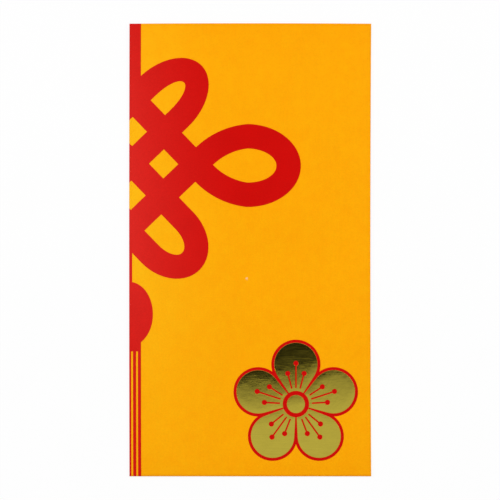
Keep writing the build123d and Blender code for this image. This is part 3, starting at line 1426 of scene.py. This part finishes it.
def floor_material():
    """White floor that looks evenly white and still takes the envelope's shadow."""
    glow_share = 0.9
    bench = FinishBench("floor")
    grain = bench.vary(bench.noise(30 * MM), 0.9, 0.93)
    bench.finish(bench.tinted(white, grain), roughness=0.9, specular=0.0)
    glow = bench.nodes.new("ShaderNodeEmission")
    bench.feed(glow.inputs["Color"], white)
    bench.feed(glow.inputs["Strength"], 1.0)
    rays = bench.nodes.new("ShaderNodeLightPath")
    seen = bench.math("MAXIMUM", rays.outputs["Is Camera Ray"], rays.outputs["Is Glossy Ray"])
    seen = bench.math("MAXIMUM", seen, rays.outputs["Is Transmission Ray"])
    blend = bench.nodes.new("ShaderNodeMixShader")
    bench.feed(blend.inputs["Fac"], bench.product(seen, glow_share))
    bench.feed(blend.inputs[1], bench.shader.outputs["BSDF"])
    bench.feed(blend.inputs[2], glow.outputs["Emission"])
    bench.feed(bench.nodes["Material Output"].inputs["Surface"], blend.outputs["Shader"])
    return bench.material


def add_floor(scene, stage):
    """Wide flat floor just under the envelope."""
    cells = 8
    bm = bmesh.new()
    bmesh.ops.create_grid(bm, x_segments=cells, y_segments=cells, size=stage.floor_size / 2)
    bmesh.ops.translate(bm, verts=bm.verts, vec=downwards * stage.floor_drop)
    mesh = new_mesh(bm, "floor")
    mesh.materials.append(floor_material())
    floor = bpy.data.objects.new("floor", mesh)
    scene.collection.objects.link(floor)


def add_soft_light(scene, name, place, size, power):
    """Square area light that faces the envelope."""
    light = bpy.data.lights.new(name, "AREA")
    light.size = size
    light.energy = power
    lamp = bpy.data.objects.new(name, light)
    lamp.location = place
    lamp.rotation_euler = place.to_track_quat("Z", "Y").to_euler()
    scene.collection.objects.link(lamp)


def add_room(scene, stage):
    """Even pale room with a dark hood round the camera, which the foil reflects."""
    world = bpy.data.worlds.new("room")
    world.use_nodes = True
    scene.world = world
    bench = NodeBench(world.node_tree, "Generated")
    hood_middle = (0, sin(stage.hood_tilt), cos(stage.hood_tilt))
    away = bench.math("ARCCOSINE", bench.measure("DOT_PRODUCT", hood_middle))
    edge_start = stage.hood_half_angle - stage.hood_edge / 2
    edge_end = stage.hood_half_angle + stage.hood_edge / 2
    hood_levels = (stage.hood_level, stage.hood_border_level)
    border_rise = stage.room_level - stage.hood_border_level
    hood = bench.spread(away, (edge_start, edge_end), hood_levels, "SMOOTHSTEP")
    border = bench.spread(away, (edge_end, edge_end + stage.hood_border), (0.0, border_rise), "SMOOTHSTEP")
    background = bench.nodes["Background"]
    bench.feed(background.inputs["Color"], white)
    bench.feed(background.inputs["Strength"], bench.math("ADD", hood, border))


def add_camera(scene, stage):
    """Camera straight over the envelope, far enough to take in the picture's width."""
    data = bpy.data.cameras.new("camera")
    data.lens = stage.lens
    distance = stage.picture_width * stage.lens / data.sensor_width
    camera = bpy.data.objects.new("camera", data)
    camera.location = (stage.camera_aside, 0, front_level + distance)
    scene.collection.objects.link(camera)
    scene.camera = camera


# Operators


class ENVELOPE_OT_sheets(Operator):
    """Builds the front, the back, the seam tab and both flaps"""

    bl_idname = "envelope.sheets"
    bl_label = "Sheets"

    def execute(self, context):
        paper = context.scene.envelope_paper
        materials = sheet_materials(context.scene)
        for node, body, printed_side, fold_sides in (
            ("front_panel", "envelope", upwards, (leftwards, rightwards, bottomwards, topwards)),
            ("back_panel", "envelope", downwards, (leftwards,)),
            ("side_seam_tab", "envelope", downwards, (rightwards,)),
            ("bottom_flap", "envelope", downwards, (bottomwards,)),
            ("closure_flap", "flap", downwards, (topwards,)),
        ):
            mesh = layer_mesh(node, paper)
            paint_sheet(mesh, materials, printed_side, fold_sides)
            settle_mesh(mesh, paper)
            piece = add_piece(mesh, node + "_sheet", node)
            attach(piece, body)
        return {"FINISHED"}


class ENVELOPE_OT_folds(Operator):
    """Builds the rounded folds along the four edges"""

    bl_idname = "envelope.folds"
    bl_label = "Folds"

    def execute(self, context):
        paper = context.scene.envelope_paper
        ornament = context.scene.envelope_ornament
        materials = sheet_materials(context.scene)
        tree = fold_strip_tree()
        for node, upright in (
            ("left_fold", True),
            ("right_fold", True),
            ("bottom_fold", False),
            ("top_crease", False),
        ):
            fold = Fold(node, upright)
            mesh = swept_fold(fold, tree, materials)
            paint_joined_sides(mesh, fold, materials)
            points = squared_corners(mesh_points(mesh), fold, paper)
            mesh.vertices.foreach_set("co", points.ravel())
            set_numbers(mesh, "ink_depth", print_on_fold(points, fold, ornament))
            # the attribute carries both the real rubbed wear and the painted crease shade
            set_numbers(mesh, "crease_wear_and_shade", crease_wear_and_shade(points, fold, paper))
            settle_mesh(mesh, paper)
            piece = add_piece(mesh, node + "_strip", node)
            if node == "top_crease":
                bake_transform(piece)
            else:
                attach(piece, "envelope")
        return {"FINISHED"}


class ENVELOPE_OT_glue(Operator):
    """Gives the two glue lines their finish"""

    bl_idname = "envelope.glue"
    bl_label = "Glue lines"

    def execute(self, context):
        glue = shared_material("paper_glue", glue_material)
        for node in ("side_seam_glue", "bottom_flap_glue"):
            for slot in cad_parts[node].material_slots:
                slot.material = glue
        return {"FINISHED"}


class ENVELOPE_OT_red_print(Operator):
    """Builds the red ornament on both sides and the emblem's red underprint"""

    bl_idname = "envelope.red_print"
    bl_label = "Red print"

    def execute(self, context):
        paper = context.scene.envelope_paper
        ornament = context.scene.envelope_ornament
        red = shared_material("scarlet_print", scarlet_print_material, paper, ornament)
        for node in ("knot_print_front", "knot_print_back", "emblem_underprint"):
            mesh = layer_mesh(node, paper)
            mesh.materials.append(red)
            settle_mesh(mesh, paper)
            piece = add_piece(mesh, node + "_ink", node)
            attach(piece, "envelope")
        return {"FINISHED"}


class ENVELOPE_OT_blossom(Operator):
    """Builds the embossed gold foil blossom"""

    bl_idname = "envelope.blossom"
    bl_label = "Foil blossom"

    def execute(self, context):
        scene = context.scene
        blossom = scene.envelope_blossom
        foil = shared_material("stamped_foil", stamped_foil_material, blossom)
        islands = foil_islands()
        boss = min(islands, key=island_width)
        top_petal = max(islands, key=island_top)
        middle = island_middle(boss)
        petal_mesh = embossed_mesh(top_petal, "petal", blossom)
        boss_mesh = embossed_mesh(boss, "boss", blossom)
        petal_mesh.materials.append(foil)  # or the tree would leave an empty slot before it
        petals = run_tree(
            petal_ring_tree(),
            petal_mesh,
            {"Middle": middle, "Petals": blossom.petals, "Foil": foil},
        )
        whole = bmesh.new()
        whole.from_mesh(petals)
        whole.from_mesh(boss_mesh)
        mesh = new_mesh(whole, "blossom_foil")
        mesh.materials.append(foil)
        settle_mesh(mesh, scene.envelope_paper)
        piece = add_piece(mesh, "blossom_foil", "emblem_foil")
        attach(piece, "envelope")
        return {"FINISHED"}


class ENVELOPE_OT_stage(Operator):
    """Sets up the floor, the soft light and the camera"""

    bl_idname = "envelope.stage"
    bl_label = "Stage"

    def execute(self, context):
        scene = context.scene
        stage = scene.envelope_stage
        add_floor(scene, stage)
        add_soft_light(scene, "left_soft_light", stage.left_place, stage.light_size, stage.left_power)
        add_soft_light(scene, "right_soft_light", stage.right_place, stage.light_size, stage.right_power)
        add_room(scene, stage)
        add_camera(scene, stage)
        scene.view_settings.view_transform = "Standard"
        return {"FINISHED"}


# Sidebar and registration


class ENVELOPE_PT_sidebar(Panel):
    """Lists the envelope's pieces and settings"""

    bl_label = "Money Envelope"
    bl_idname = "ENVELOPE_PT_sidebar"
    bl_space_type = "VIEW_3D"
    bl_region_type = "UI"
    bl_category = "Envelope"

    def draw(self, context):
        for operator in operators:
            self.layout.operator(operator.bl_idname)
        for name, group in setting_groups:
            box = self.layout.box()
            box.label(text=group.__doc__)
            settings = getattr(context.scene, name)
            for setting in group.__annotations__:
                box.prop(settings, setting)


setting_groups = (
    ("envelope_paper", PaperSettings),
    ("envelope_ornament", OrnamentSettings),
    ("envelope_blossom", BlossomSettings),
    ("envelope_stage", StageSettings),
)

operators = (
    ENVELOPE_OT_sheets,
    ENVELOPE_OT_folds,
    ENVELOPE_OT_glue,
    ENVELOPE_OT_red_print,
    ENVELOPE_OT_blossom,
    ENVELOPE_OT_stage,
)


def register():
    for name, group in setting_groups:
        bpy.utils.register_class(group)
        setattr(bpy.types.Scene, name, PointerProperty(type=group))
    for operator in operators:
        bpy.utils.register_class(operator)
    bpy.utils.register_class(ENVELOPE_PT_sidebar)


def unregister():
    bpy.utils.unregister_class(ENVELOPE_PT_sidebar)
    for operator in reversed(operators):
        bpy.utils.unregister_class(operator)
    for name, group in reversed(setting_groups):
        delattr(bpy.types.Scene, name)
        bpy.utils.unregister_class(group)


def main():
    """Builds the envelope and its stage."""
    register()
    bpy.ops.envelope.sheets()
    bpy.ops.envelope.folds()
    bpy.ops.envelope.glue()
    bpy.ops.envelope.red_print()
    bpy.ops.envelope.blossom()
    bpy.ops.envelope.stage()


if __name__ == "__main__":
    main()
